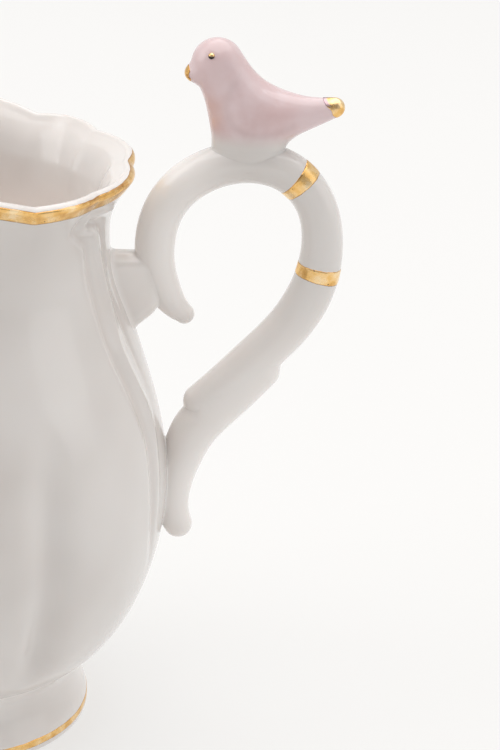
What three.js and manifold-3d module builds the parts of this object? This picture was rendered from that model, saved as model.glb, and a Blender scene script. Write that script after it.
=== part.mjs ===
// Porcelain cream jug: a lobed pot with a wavy gilded lip on a low foot ring, a handle of two
// scrolls joined to the neck by a lug, and a small bird perched on top of the handle.
//
// Millimetres, +Z up. Everything is drawn round the pot's own axis, with the handle towards +X and
// the spout towards -X; the finished group is then centred over its own footprint.

import * as THREE from 'three';
import { mergeVertices } from 'three/addons/utils/BufferGeometryUtils.js';
import Module from 'manifold-3d';

// ---- driving dimensions ----

const GAP = 0.3; // clearance between pieces that touch on the real jug
const ROUND_SIDES = 72; // facets round the pot and its lip
const FOOT_SIDES = 48;
const TUBE_SIDES = 14;
const BIRD_SIDES = 20;
const PERCH_SIDES = 28;
const FACE_SIDES = 16;
const BEAD_SIDES = 10; // round the eyes and beak

const WALL = 2.6; // thickness of the pot's wall
const BASE_THICKNESS = 4;
// the bowl's floor: radius, height above its middle
const BOWL_FLOOR = [
  [18, 1.2],
  [9, 0.2],
  [0, 0],
];
// half of the pot's outside, from the middle of its base to the edge of its lip: [radius, height]
const POT_OUTSIDE = [
  [0, 6.3],
  [10, 7],
  [20, 10],
  [28.5, 15],
  [34, 22],
  [37.4, 30],
  [39.8, 40],
  [40.1, 50],
  [38.3, 60],
  [35.3, 70],
  [31.8, 80],
  [28.8, 88],
  [28.1, 95],
  [28.9, 101.5],
  [31.6, 106.2],
];
const LIP_ROUNDING = 0.7; // how far the lip's rounded edge stands above its two corners

// the wave of the lip: angles from the handle of its low corners, in degrees
const LIP_CORNERS = [0, 36, 63.4, 116.6, 144, 180];
const LIP_WAVE_START = 94; // height where the wave begins
const LIP_WAVE_END = 106;
const NARROW_LOBE_RISE = 1.1;
const WIDE_LOBE_RISE = 2.8;
const LOBE_BULGE = 0.9;

const SPOUT_REACH = 13.1; // how far the pouring lip stands out past the round lip
const SPOUT_RISE = 3;
const SPOUT_START = 78; // height where the spout begins to leave the neck
const SPOUT_HALF_ANGLE = 17;

// upright valleys between the pot's lobes: angle from the handle, depth, half-width
const VALLEYS = [
  [22, 0.7, 5],
  [61, 1.2, 9],
  [119, 1.2, 9],
  [158, 0.7, 5],
];
const VALLEY_FOOT = [15, 28]; // heights over which the valleys fade in
const VALLEY_HEAD = [54, 76]; // heights over which they fade out

const FOOT_OUTSIDE = [
  [26.0, 0],
  [26.4, 0.5],
  [26.45, 1.0],
];
const FOOT_FLARE = [
  [26.3, 3.0],
  [25.55, 4.8],
  [24.75, 6.3],
  [24.1, 8],
  [23.9, 10],
];
// the sloping seat under the pot, then the hollow's side down to the floor
const FOOT_SEAT = [
  [23.9, 11.55],
  [22, 10.55],
];
const FOOT_INSIDE = [
  [20.6, 9.9],
  [20.6, 6],
  [21.8, 0],
];

const GILDING_INSET = 0.6; // depth of the shallow rebate that each gold film lies in
const GILDING_PROUD = 0.05;
// the lip's gilding reaches this far below the outer edge and over this share of the rounded top
const LIP_GILDING_DROP = 2.1;
const LIP_GILDING_OVER = 0.45;
const EDGE_SETBACK = 0.6; // how far the wrapped film's hidden corner sits below the edge, per depth
const FOOT_GILDING = [1.0, 3.0]; // heights

// handle: [x, height, radius] along the middle of each scroll
const UPPER_SCROLL = [
  [41.9, 79.3, 1.8],
  [40.4, 80.6, 2.3],
  [38.6, 83.0, 3.0],
  [36.6, 87.5, 3.5],
  [36.2, 93.6, 3.65],
  [38.3, 100.4, 3.7],
  [43.2, 105.4, 3.7],
  [51.8, 108.1, 3.7],
  [59.2, 106.4, 3.7],
  [64.2, 101.0, 3.6],
  [66.1, 93.0, 3.8],
  [64.6, 84.3, 4.1],
  [60.2, 76.6, 4.05],
  [54.6, 70.4, 4.0],
  [49.4, 65.1, 3.85],
  [45.7, 62.0, 3.5],
];
const LOWER_SCROLL = [
  [56.4, 68.6, 3.4],
  [52.0, 64.0, 3.7],
  [47.6, 60.1, 4.15],
  [45.0, 57.1, 4.25],
  [42.9, 52.2, 3.85],
  [41.3, 45.6, 3.4],
  [41.4, 40.2, 3.1],
  [42.6, 37.2, 2.6],
];
const SCROLL_STEPS = 3; // rings from one scroll point to the next
const BAND_WIDTH = 2.4;
const UPPER_BAND_MIDDLE = [61.0, 104.8];
const LOWER_BAND_MIDDLE = [65.7, 88.1];

const LUG_THICKNESS = 6.6;
const LUG_BEVEL = 1.4;
const LUG_OUTLINE = [
  [25, 90.9],
  [31.5, 91.0],
  [35.5, 90.0],
  [38.6, 84.5],
  [38.4, 80.6],
  [36.0, 79.2],
  [33.4, 76.9],
  [30, 74.4],
];

// bird: [x, height, radius] from the middle of its head to the end of its tail
const BIRD_SPINE = [
  [45.7, 125.85, 4.55],
  [48.4, 121.2, 5.2],
  [51.6, 117.6, 6.0],
  [57.4, 116.7, 4.4],
  [62.4, 117.5, 2.8],
  [66.4, 118.5, 1.7],
];
const BIRD_WIDTH_RATIO = 0.9; // its width over its height
const BREAST = { x: 51.8, halfLength: 6.6, halfWidth: 4.6, top: 118.5 };
const PERCH = { x: 51.8, halfLength: 6.7, halfWidth: 3.6, bottom: 106.5, top: 112.2 };
const FACE = { x: 43.4, z: 124.0, length: 2.7, height: 2.1, width: 2.4 };
const BEAK = { x: 41.3, z: 124.1, length: 1.2, height: 1.2, width: 0.9 };
const TAIL_GILDING_X = 64.6;
const EYE = { x: 44.4, y: 3.4, z: 128.0, radius: 0.6, socket: 0.95 };

// ---- colours and finishes ----

const porcelain = new THREE.MeshStandardMaterial({ color: 0xd8d2cc, roughness: 0.18, metalness: 0 });
const pinkEnamel = new THREE.MeshStandardMaterial({ color: 0xd7c0c0, roughness: 0.22, metalness: 0 });
const gold = new THREE.MeshStandardMaterial({ color: 0xdfae68, roughness: 0.2, metalness: 1 });

// ---- solids ----

const wasm = await Module();
wasm.setup();

/** Signed volume of an indexed geometry: positive when its faces point out. */
function signedVolume(positions, triangles) {
  const a = new THREE.Vector3();
  const b = new THREE.Vector3();
  const c = new THREE.Vector3();
  let sum = 0;
  for (let i = 0; i < triangles.length; i += 3) {
    a.fromBufferAttribute(positions, triangles[i]);
    b.fromBufferAttribute(positions, triangles[i + 1]);
    c.fromBufferAttribute(positions, triangles[i + 2]);
    sum += a.dot(b.cross(c)) / 6;
  }
  return sum;
}

/** Merges shared corners, drops collapsed triangles and turns the faces outwards. */
function closed(geometry) {
  geometry.deleteAttribute('normal');
  geometry.deleteAttribute('uv');
  const merged = mergeVertices(geometry);
  const corners = merged.index.array;
  const kept = [];
  for (let i = 0; i < corners.length; i += 3) {
    const [a, b, c] = corners.slice(i, i + 3);
    if (a !== b && b !== c && c !== a) {
      kept.push(a, b, c);
    }
  }
  if (signedVolume(merged.attributes.position, kept) < 0) {
    kept.reverse();
  }
  merged.setIndex(kept);
  merged.computeVertexNormals();
  return merged;
}

function toManifold(geometry) {
  const vertProperties = new Float32Array(geometry.attributes.position.array);
  const triVerts = new Uint32Array(geometry.index.array);
  return new wasm.Manifold(new wasm.Mesh({ numProp: 3, vertProperties, triVerts }));
}

function toGeometry(manifold) {
  const { vertProperties, triVerts } = manifold.getMesh();
  const geometry = new THREE.BufferGeometry();
  geometry.setAttribute('position', new THREE.BufferAttribute(new Float32Array(vertProperties), 3));
  geometry.setIndex(new THREE.BufferAttribute(new Uint32Array(triVerts), 1));
  geometry.computeVertexNormals();
  return geometry;
}

function cut(geometry, ...cutters) {
  const whole = toManifold(geometry);
  return toGeometry(cutters.reduce((rest, cutter) => rest.subtract(toManifold(cutter)), whole));
}

function join(geometry, ...others) {
  const whole = toManifold(geometry);
  return toGeometry(others.reduce((all, other) => all.add(toManifold(other)), whole));
}

function common(geometry, other) {
  return toGeometry(toManifold(geometry).intersect(toManifold(other)));
}

/** A block between two corners, each [x, y, z]. */
function block(low, high) {
  const size = high.map((value, axis) => value - low[axis]);
  const geometry = new THREE.BoxGeometry(...size);
  geometry.translate(...low.map((value, axis) => value + size[axis] / 2));
  return closed(geometry);
}

/** A ball stretched to three half-sizes about a centre. */
function ellipsoid(centre, halfSizes, sides) {
  const geometry = new THREE.SphereGeometry(1, sides, sides);
  geometry.scale(...halfSizes);
  geometry.translate(...centre);
  return closed(geometry);
}

// ---- the pot's shape: turned on the axis, then waved, fluted and pulled out into a spout ----

/** 0 below the first height, 1 above the second and a smooth step between. */
function rise(value, [start, end]) {
  return THREE.MathUtils.smoothstep(value, start, end);
}

/** How far a lobe of the lip stands up and out at an angle from the handle, in degrees. */
function lipWave(angle) {
  const last = LIP_CORNERS.length - 2;
  const lobe = Math.min(last, LIP_CORNERS.filter((corner) => corner <= angle).length - 1);
  const start = LIP_CORNERS[lobe];
  const width = LIP_CORNERS[lobe + 1] - start;
  const swell = Math.sin((Math.PI * (angle - start)) / width);
  const height = width > 45 ? WIDE_LOBE_RISE : NARROW_LOBE_RISE;
  return { up: height * swell, out: LOBE_BULGE * swell };
}

/** Moves one turned point of the pot to its place on the finished pot. */
function shapePot(point) {
  const radius = Math.hypot(point.x, point.y);
  if (radius < 1e-6) {
    return;
  }
  const angle = Math.abs(Math.atan2(point.y, point.x));
  const degrees = THREE.MathUtils.radToDeg(angle);
  const fluted = rise(point.z, VALLEY_FOOT) * (1 - rise(point.z, VALLEY_HEAD));
  let outwards = 0;
  for (const [centre, depth, halfWidth] of VALLEYS) {
    outwards -= fluted * depth * Math.exp(-(((degrees - centre) / halfWidth) ** 2));
  }
  const waved = rise(point.z, [LIP_WAVE_START, LIP_WAVE_END]);
  const wave = lipWave(degrees);
  const pouring = Math.exp(-(((180 - degrees) / SPOUT_HALF_ANGLE) ** 2));
  const pulled = rise(point.z, [SPOUT_START, LIP_WAVE_END + 4]) * pouring;
  outwards += waved * wave.out + pulled * SPOUT_REACH;
  const scale = (radius + outwards) / radius;
  point.x *= scale;
  point.y *= scale;
  point.z += waved * wave.up + waved * pouring * SPOUT_RISE;
}

/** Turns a profile of [radius, height] points round the axis. */
function turned(profile, sides, shape = () => {}) {
  const geometry = new THREE.LatheGeometry(profile, sides);
  geometry.rotateX(Math.PI / 2);
  const position = geometry.attributes.position;
  const point = new THREE.Vector3();
  for (let i = 0; i < position.count; i += 1) {
    point.fromBufferAttribute(position, i);
    shape(point);
    position.setXYZ(i, point.x, point.y, point.z);
  }
  return closed(geometry);
}

const potCurve = new THREE.SplineCurve(POT_OUTSIDE.map(([r, z]) => new THREE.Vector2(r, z)));
potCurve.arcLengthDivisions = 1500;
const potLength = potCurve.getLength();

/** A point of the pot's profile at a distance back from the lip, sunk into the wall by depth. */
function potPoint(fromLip, depth) {
  const along = THREE.MathUtils.clamp(1 - fromLip / potLength, 0, 1);
  const point = potCurve.getPointAt(along);
  const tangent = potCurve.getTangentAt(along);
  return new THREE.Vector2(Math.max(0, point.x - tangent.y * depth), point.y + tangent.x * depth);
}

/** Distances back from the lip at which the wall's rings lie, closer together near the lip. */
const OUTSIDE_RINGS = [134, 126, 118, 110, 101, 91, 80, 69, 58, 47, 37, 29, 22, 16, 11, 7, 4.5];
const INSIDE_RINGS = [2.5, 7, 13, 21, 31, 43, 56, 69, 82, 94, 105, 113, 119];

const lipOutside = potPoint(0, 0);
const lipInside = potPoint(0, WALL);
const lipTop = lipOutside.clone().lerp(lipInside, 0.5);
lipTop.addScaledVector(potCurve.getTangentAt(1), LIP_ROUNDING);

/** A point over the lip's outer half: a distance past where the gilding stops, sunk by depth. */
function lipSlopePoint(past, depth) {
  const slope = lipTop.clone().sub(lipOutside);
  const along = slope.length() * LIP_GILDING_OVER + past;
  slope.normalize();
  const point = lipOutside.clone().addScaledVector(slope, along);
  return point.addScaledVector(new THREE.Vector2(slope.y, -slope.x), -depth);
}

/** The section that the lip's gilding follows at a depth, from its lower end over the edge. */
function gildedLip(past, depth) {
  return [
    potPoint(LIP_GILDING_DROP + past, depth),
    potPoint(Math.max(0, depth * EDGE_SETBACK), depth),
    lipSlopePoint(past, depth),
  ];
}

function makePot() {
  const outside = OUTSIDE_RINGS.map((distance) => potPoint(distance, 0));
  const inside = INSIDE_RINGS.map((distance) => potPoint(distance, WALL));
  const floor = POT_OUTSIDE[0][1] + BASE_THICKNESS;
  const profile = [
    new THREE.Vector2(0, POT_OUTSIDE[0][1]),
    ...outside,
    potPoint(LIP_GILDING_DROP + GAP, 0),
    ...gildedLip(GAP, GILDING_INSET),
    lipSlopePoint(GAP, 0),
    lipTop,
    lipInside,
    ...inside,
    ...BOWL_FLOOR.map(([r, z]) => new THREE.Vector2(r, floor + z)),
  ];
  return turned(profile, ROUND_SIDES, shapePot);
}

/** The pot's outside as a solid, grown by the clearance: whatever meets the pot is cut by it. */
function makePotCutter() {
  const top = new THREE.Vector2(0, POT_OUTSIDE.at(-1)[1]);
  const outside = OUTSIDE_RINGS.map((distance) => potPoint(distance, -GAP));
  const profile = [new THREE.Vector2(0, POT_OUTSIDE[0][1] - GAP), ...outside, potPoint(0, -GAP), top];
  return turned(profile, ROUND_SIDES, shapePot);
}

function makeLipGilding() {
  const face = gildedLip(0, -GILDING_PROUD);
  const back = gildedLip(0, GILDING_INSET - GAP).reverse();
  return turned([...face, ...back, face[0]], ROUND_SIDES, shapePot);
}

// ---- foot ----

/** Radius of the foot's flared side at a height inside its gilded stretch. */
function footSide(height) {
  const low = FOOT_OUTSIDE.at(-1);
  const high = FOOT_FLARE[0];
  return THREE.MathUtils.mapLinear(height, low[1], high[1], low[0], high[0]);
}

function makeFootRing() {
  const [bottom, top] = FOOT_GILDING;
  const profile = [
    FOOT_INSIDE.at(-1),
    ...FOOT_OUTSIDE,
    [footSide(bottom) - GILDING_INSET, bottom],
    [footSide(top) - GILDING_INSET, top],
    ...FOOT_FLARE,
    ...FOOT_SEAT,
    ...FOOT_INSIDE,
  ];
  return turned(profile.map(([r, z]) => new THREE.Vector2(r, z)), FOOT_SIDES);
}

function makeFootGilding() {
  const bottom = FOOT_GILDING[0] + GAP;
  const top = FOOT_GILDING[1] - GAP;
  const film = GILDING_INSET - GAP;
  const profile = [
    [footSide(bottom) - film, bottom],
    [footSide(bottom) + GILDING_PROUD, bottom],
    [footSide(top) + GILDING_PROUD, top],
    [footSide(top) - film, top],
    [footSide(bottom) - film, bottom],
  ];
  return turned(profile.map(([r, z]) => new THREE.Vector2(r, z)), FOOT_SIDES);
}

// ---- scrolls and bird: round sections of changing radius along a curve in the upright plane ----

/** A curve through [x, height, radius] points. Its own y is the radius. */
function stationCurve(stations) {
  const points = stations.map(([x, z, radius]) => new THREE.Vector3(x, radius, z));
  return new THREE.CatmullRomCurve3(points, false, 'centripetal');
}

/** The ring of a station curve at a place from 0 to 1. */
function ringAt(curve, place, growth = 0) {
  const point = curve.getPoint(place);
  const along = curve.getTangent(place).setY(0).normalize();
  return { centre: new THREE.Vector3(point.x, 0, point.z), along, radius: point.y + growth };
}

/** Rings that close one end of a tube with a round nose; side is -1 at its start and 1 at its end. */
function nose(ring, side) {
  return [0, 0.35, 0.7].map((turn) => {
    const angle = (turn * Math.PI) / 2;
    const centre = ring.centre.clone().addScaledVector(ring.along, side * ring.radius * Math.cos(angle));
    return { ...ring, centre, radius: ring.radius * Math.sin(angle) };
  });
}

/** A closed surface through rings. widthRatio narrows every ring across the upright plane. */
function ringSolid(rings, sides, widthRatio = 1) {
  const profile = rings.map((ring, index) => new THREE.Vector2(ring.radius, index));
  const geometry = new THREE.LatheGeometry(profile, sides);
  const position = geometry.attributes.position;
  for (let i = 0; i < position.count; i += 1) {
    const ring = rings[Math.round(position.getY(i))];
    const inPlane = position.getX(i);
    const x = ring.centre.x - ring.along.z * inPlane;
    const z = ring.centre.z + ring.along.x * inPlane;
    position.setXYZ(i, x, position.getZ(i) * widthRatio, z);
  }
  return closed(geometry);
}

/** A round-ended tube along a station curve, with rebates of [start, end] places along it. */
function scroll(curve, steps, { growth = 0, rebates = [], sides = TUBE_SIDES, widthRatio = 1 } = {}) {
  const inRebate = (place) => rebates.some(([start, end]) => place > start - 0.001 && place < end + 0.001);
  const rings = [];
  for (let step = 0; step <= steps; step += 1) {
    const place = step / steps;
    if (!inRebate(place)) {
      rings.push({ place, ring: ringAt(curve, place, growth) });
    }
  }
  for (const [start, end] of rebates) {
    rings.push({ place: start - 1e-6, ring: ringAt(curve, start, growth) });
    rings.push({ place: start, ring: ringAt(curve, start, growth - GILDING_INSET) });
    rings.push({ place: end, ring: ringAt(curve, end, growth - GILDING_INSET) });
    rings.push({ place: end + 1e-6, ring: ringAt(curve, end, growth) });
  }
  rings.sort((a, b) => a.place - b.place);
  const body = rings.map(({ ring }) => ring);
  const endNose = nose(body.at(-1), 1).reverse();
  return ringSolid([...nose(body[0], -1), ...body, ...endNose], sides, widthRatio);
}

/** The place along a curve that lies nearest a point. */
function nearestPlace(curve, [x, z]) {
  const count = 600;
  let best = { place: 0, distance: Infinity };
  for (let i = 0; i <= count; i += 1) {
    const point = curve.getPoint(i / count);
    const distance = Math.hypot(point.x - x, point.z - z);
    if (distance < best.distance) {
      best = { place: i / count, distance };
    }
  }
  return best.place;
}

/** Start and end places of a stretch of a curve, a given width about a middle point. */
function stretch(curve, middle, width) {
  const place = nearestPlace(curve, middle);
  const ahead = curve.getPoint(place + 0.01);
  const behind = curve.getPoint(place - 0.01);
  const halfPlace = (0.01 * width) / Math.hypot(ahead.x - behind.x, ahead.z - behind.z);
  return [place - halfPlace, place + halfPlace];
}

/** A gold ring round a scroll, lying in the rebate that its middle names. */
function makeBand(curve, middle) {
  const [start, end] = stretch(curve, middle, BAND_WIDTH - 2 * GAP);
  const inner = GAP - GILDING_INSET;
  const corners = [
    [start, inner],
    [start, GILDING_PROUD],
    [end, GILDING_PROUD],
    [end, inner],
    [start, inner],
  ];
  return ringSolid(corners.map(([place, growth]) => ringAt(curve, place, growth)), TUBE_SIDES);
}

const upperCurve = stationCurve(UPPER_SCROLL);
const lowerCurve = stationCurve(LOWER_SCROLL);
const upperSteps = (UPPER_SCROLL.length - 1) * SCROLL_STEPS;
const lowerSteps = (LOWER_SCROLL.length - 1) * SCROLL_STEPS;
const bandMiddles = { upper_handle_band: UPPER_BAND_MIDDLE, lower_handle_band: LOWER_BAND_MIDDLE };
const rebates = Object.values(bandMiddles).map((middle) => stretch(upperCurve, middle, BAND_WIDTH));
const potCutter = makePotCutter();
const upperScrollCutter = scroll(upperCurve, upperSteps, { growth: GAP });

function makeUpperScroll() {
  return scroll(upperCurve, upperSteps, { rebates });
}

function makeLowerScroll() {
  return cut(scroll(lowerCurve, lowerSteps), upperScrollCutter, potCutter);
}

function makeLug() {
  const outline = new THREE.Shape(LUG_OUTLINE.map(([x, z]) => new THREE.Vector2(x, z)));
  const geometry = new THREE.ExtrudeGeometry(outline, {
    depth: LUG_THICKNESS - 2 * LUG_BEVEL,
    bevelSize: LUG_BEVEL,
    bevelThickness: LUG_BEVEL,
    bevelOffset: -LUG_BEVEL,
    bevelSegments: 3,
  });
  geometry.rotateX(Math.PI / 2);
  geometry.translate(0, LUG_THICKNESS / 2 - LUG_BEVEL, 0);
  return cut(closed(geometry), potCutter, upperScrollCutter);
}

/** A short upright column of oval section, narrowed to halfWidth across the upright plane. */
function ovalColumn({ x, halfLength, halfWidth }, bottom, top) {
  const profile = [
    [0, bottom],
    [halfLength, bottom],
    [halfLength, top],
    [0, top],
  ];
  const geometry = turned(profile.map(([r, z]) => new THREE.Vector2(r, z)), PERCH_SIDES);
  geometry.scale(1, halfWidth / halfLength, 1);
  geometry.translate(x, 0, 0);
  return geometry;
}

function makePerch() {
  return cut(ovalColumn(PERCH, PERCH.bottom, PERCH.top), upperScrollCutter);
}

const ABOVE_BIRD = 140;
const birdFloor = PERCH.top + GAP;
const birdCurve = stationCurve(BIRD_SPINE);
const birdSteps = (BIRD_SPINE.length - 1) * SCROLL_STEPS;

/** A block across the whole bird, from a lengthwise place to past its tail and up to a height. */
function birdSpace(fromX, toZ) {
  return block([fromX, -20, 100], [80, 20, toZ]);
}

/** The whole bird above its perch, before its beak, eyes and gilded tail are let in. */
function makeBirdBlank() {
  const spine = scroll(birdCurve, birdSteps, { sides: BIRD_SIDES, widthRatio: BIRD_WIDTH_RATIO });
  const breast = ovalColumn(BREAST, birdFloor, BREAST.top);
  const face = ellipsoid([FACE.x, 0, FACE.z], [FACE.length, FACE.width, FACE.height], FACE_SIDES);
  return cut(join(spine, breast, face), birdSpace(30, birdFloor));
}

function beakSolid(growth) {
  const halfSizes = [BEAK.length, BEAK.width, BEAK.height].map((half) => half + growth);
  return ellipsoid([BEAK.x, 0, BEAK.z], halfSizes, BEAD_SIDES);
}

function makeBird() {
  const tailSpace = birdSpace(TAIL_GILDING_X - GAP, ABOVE_BIRD);
  const sockets = [-1, 1].map((side) => {
    return ellipsoid([EYE.x, side * EYE.y, EYE.z], Array(3).fill(EYE.socket), BEAD_SIDES);
  });
  return cut(makeBirdBlank(), tailSpace, beakSolid(GAP), ...sockets);
}

function makeTailGilding() {
  return common(makeBirdBlank(), birdSpace(TAIL_GILDING_X, ABOVE_BIRD));
}

function makeEye(side) {
  return ellipsoid([EYE.x, side * EYE.y, EYE.z], Array(3).fill(EYE.radius), BEAD_SIDES);
}

// ---- assembly ----

const pieces = [
  ['jug_body', makePot(), porcelain],
  ['foot_ring', makeFootRing(), porcelain],
  ['handle_lug', makeLug(), porcelain],
  ['upper_scroll', makeUpperScroll(), porcelain],
  ['lower_scroll', makeLowerScroll(), porcelain],
  ['bird_perch', makePerch(), porcelain],
  ['bird', makeBird(), pinkEnamel],
  ['beak_gilding', beakSolid(0), gold],
  ['tail_gilding', makeTailGilding(), gold],
  ['left_eye', makeEye(-1), gold],
  ['right_eye', makeEye(1), gold],
  ['rim_gilding', makeLipGilding(), gold],
  ['foot_gilding', makeFootGilding(), gold],
  ...Object.entries(bandMiddles).map(([name, middle]) => [name, makeBand(upperCurve, middle), gold]),
];

const jug = new THREE.Group();
for (const [name, geometry, material] of pieces) {
  const mesh = new THREE.Mesh(geometry, material);
  mesh.name = name;
  jug.add(mesh);
}

const extent = new THREE.Box3().setFromObject(jug);
jug.position.x = -(extent.min.x + extent.max.x) / 2;

export default jug;
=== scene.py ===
"""Porcelain cream jug: glazed pot, scroll handle, enamelled bird and gilding, built round the frame.

Lengths are millimetres round the pot's own upright axis, with the handle towards +x and the spout
towards -x, as the frame has them. to_scene() turns them into metres in the frame.
"""

import math

import bpy
import numpy as np
from mathutils import Matrix, Vector


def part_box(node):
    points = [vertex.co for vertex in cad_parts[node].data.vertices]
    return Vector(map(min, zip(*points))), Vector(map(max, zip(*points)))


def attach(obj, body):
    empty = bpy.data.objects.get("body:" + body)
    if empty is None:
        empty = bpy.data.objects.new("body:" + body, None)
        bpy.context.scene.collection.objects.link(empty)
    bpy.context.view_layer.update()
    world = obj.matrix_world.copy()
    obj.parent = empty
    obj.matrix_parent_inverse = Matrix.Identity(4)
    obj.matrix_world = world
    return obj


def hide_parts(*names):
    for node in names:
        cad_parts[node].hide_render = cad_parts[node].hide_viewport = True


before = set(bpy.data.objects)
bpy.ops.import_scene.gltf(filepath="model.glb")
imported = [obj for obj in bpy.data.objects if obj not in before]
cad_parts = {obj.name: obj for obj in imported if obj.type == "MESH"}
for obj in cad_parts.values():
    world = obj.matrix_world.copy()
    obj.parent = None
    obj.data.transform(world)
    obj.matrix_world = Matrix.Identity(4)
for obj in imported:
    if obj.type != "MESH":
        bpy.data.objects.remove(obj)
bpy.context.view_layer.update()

MM = 0.001
foot_low, foot_high = (np.array(corner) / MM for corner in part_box("foot_ring"))
AXIS_X = (foot_low[0] + foot_high[0]) / 2


# ---- camera ----

CAMERA_PLACE = (17.8, -410.97, 238.16)
CAMERA_AIM = (54.4, 0.0, 67.6)
CAMERA_ROLL = 0.056
LENS = 117.65
CAMERA_CLIP = (0.01, 20)  # metres


def make_camera():
    place = Vector(CAMERA_PLACE)
    ahead = (Vector(CAMERA_AIM) - place).normalized()
    right = ahead.cross(Vector((0, 0, 1))).normalized()
    up = right.cross(ahead)
    rolled_right = right * math.cos(CAMERA_ROLL) + up * math.sin(CAMERA_ROLL)
    rolled_up = up * math.cos(CAMERA_ROLL) - right * math.sin(CAMERA_ROLL)
    data = bpy.data.cameras.new("camera")
    data.lens = LENS
    data.clip_start, data.clip_end = CAMERA_CLIP
    camera = bpy.data.objects.new("camera", data)
    bpy.context.collection.objects.link(camera)
    turn = Matrix((rolled_right, rolled_up, -ahead)).transposed().to_4x4()
    camera.matrix_world = Matrix.Translation(to_scene([place])[0]) @ turn
    bpy.context.scene.camera = camera


# ---- curves and meshes ----


def to_scene(points):
    """Millimetres round the pot's axis to metres in the frame."""
    return (np.asarray(points, dtype=float) + (AXIS_X, 0, 0)) * MM


FINE_STEPS = 40  # for each point of a spline, when its length is measured


def run_along(points):
    """Distances along a line of points from its first point."""
    return np.concatenate([[0], np.cumsum(np.linalg.norm(np.diff(points, axis=0), axis=1))])


def spline(points, count):
    """A smooth curve through points of any dimension, as count points evenly spaced along it."""
    points = np.asarray(points, dtype=float)
    knots = run_along(points)
    gaps = np.diff(knots)
    slopes = np.diff(points, axis=0) / gaps[:, None]
    system = np.eye(len(points))
    right_side = np.zeros_like(points)
    for i in range(1, len(points) - 1):
        system[i, i - 1:i + 2] = gaps[i - 1], 2 * (gaps[i - 1] + gaps[i]), gaps[i]
        right_side[i] = 6 * (slopes[i] - slopes[i - 1])
    bend = np.linalg.solve(system, right_side)

    def at(places):
        i = np.clip(np.searchsorted(knots, places, side="right") - 1, 0, len(gaps) - 1)
        gap = gaps[i][:, None]
        after = (places - knots[i])[:, None]
        before = (knots[i + 1] - places)[:, None]
        curved = (bend[i] * before ** 3 + bend[i + 1] * after ** 3) / (6 * gap)
        start = (points[i] / gap - bend[i] * gap / 6) * before
        return curved + start + (points[i + 1] / gap - bend[i + 1] * gap / 6) * after

    fine = np.linspace(0, knots[-1], FINE_STEPS * len(points))
    travelled = run_along(at(fine))
    return at(np.interp(np.linspace(0, travelled[-1], count), travelled, fine))


def smooth_step(value, start, end):
    t = np.clip((value - start) / (end - start), 0, 1)
    return t * t * (3 - 2 * t)


def window(value, rising, falling):
    """1 between two stretches, fading in over the first and out over the second."""
    return smooth_step(value, *rising) * (1 - smooth_step(value, *falling))


def between(value, limits):
    return (value > limits[0]) & (value < limits[1])


def bump(distance, half_width):
    """A smooth mound: 1 at zero distance, nearly 0 at twice the half-width."""
    return np.exp(-(distance / half_width) ** 2)


def round_axis(radius, height, angle):
    """Points at radii and heights, turned round the upright axis by angles."""
    parts = np.broadcast_arrays(radius * np.cos(angle), radius * np.sin(angle), height)
    return np.stack(parts, axis=-1)


def make_piece(name, node, slot, points, faces, material, **marks):
    """A piece that stands for a CAD node. Its material reads the marks: one number a vertex or for all."""
    mesh = bpy.data.meshes.new(name)
    mesh.from_pydata(to_scene(points).tolist(), [], [list(face) for face in faces])
    mesh.validate()
    mesh.polygons.foreach_set("use_smooth", [True] * len(mesh.polygons))
    for mark, values in marks.items():
        attribute = mesh.attributes.new(mark, "FLOAT", "POINT")
        values = np.broadcast_to(np.ravel(values), len(points)).astype(np.float32)
        attribute.data.foreach_set("value", values)
    mesh.materials.append(material)
    piece = bpy.data.objects.new(name, mesh)
    bpy.context.collection.objects.link(piece)
    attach(piece, "root")
    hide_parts(node)


def sheet_faces(rows, columns, looped):
    """Quads of a grid whose columns close on themselves, and whose rows do too when looped."""
    row = np.arange(rows if looped else rows - 1)[:, None]
    column = np.arange(columns)[None, :]
    next_row = (row + 1) % rows
    next_column = (column + 1) % columns
    corners = [row * columns + column, row * columns + next_column,
               next_row * columns + next_column, next_row * columns + column]
    return np.stack(np.broadcast_arrays(*corners), axis=-1).reshape(-1, 4)


def outward(points, faces):
    """The faces, turned round if they enclose a negative volume."""
    a, b, c = (points[faces[:, i]] for i in range(3))
    d = points[faces[:, -1]]
    volume = np.einsum("ij,ij->", a, np.cross(b, c)) + np.einsum("ij,ij->", a, np.cross(c, d))
    return faces if volume > 0 else faces[:, ::-1]


def ring_solid(rings):
    """A closed ring, such as a band, from a (rows, columns, 3) grid that closes both ways."""
    rows, columns = rings.shape[:2]
    points = rings.reshape(-1, 3)
    return points, outward(points, sheet_faces(rows, columns, True))


def capped_solid(rings):
    """A closed solid from a (rows, columns, 3) grid whose first and last rows shrink to a point."""
    rows, columns = rings.shape[:2]
    inner = rings[1:-1].reshape(-1, 3)
    points = np.concatenate([inner, rings[0].mean(axis=0)[None], rings[-1].mean(axis=0)[None]])
    sheet = sheet_faces(rows - 2, columns, False)
    side = outward(inner, sheet)
    here = np.arange(columns)
    after = (here + 1) % columns
    last = (rows - 3) * columns
    first_fan = np.stack([np.full(columns, len(inner)), after, here], axis=1)
    last_fan = np.stack([np.full(columns, len(inner) + 1), last + here, last + after], axis=1)
    if not np.array_equal(side, sheet):
        first_fan = first_fan[:, ::-1]
        last_fan = last_fan[:, ::-1]
    return points, side.tolist() + first_fan.tolist() + last_fan.tolist()


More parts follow.
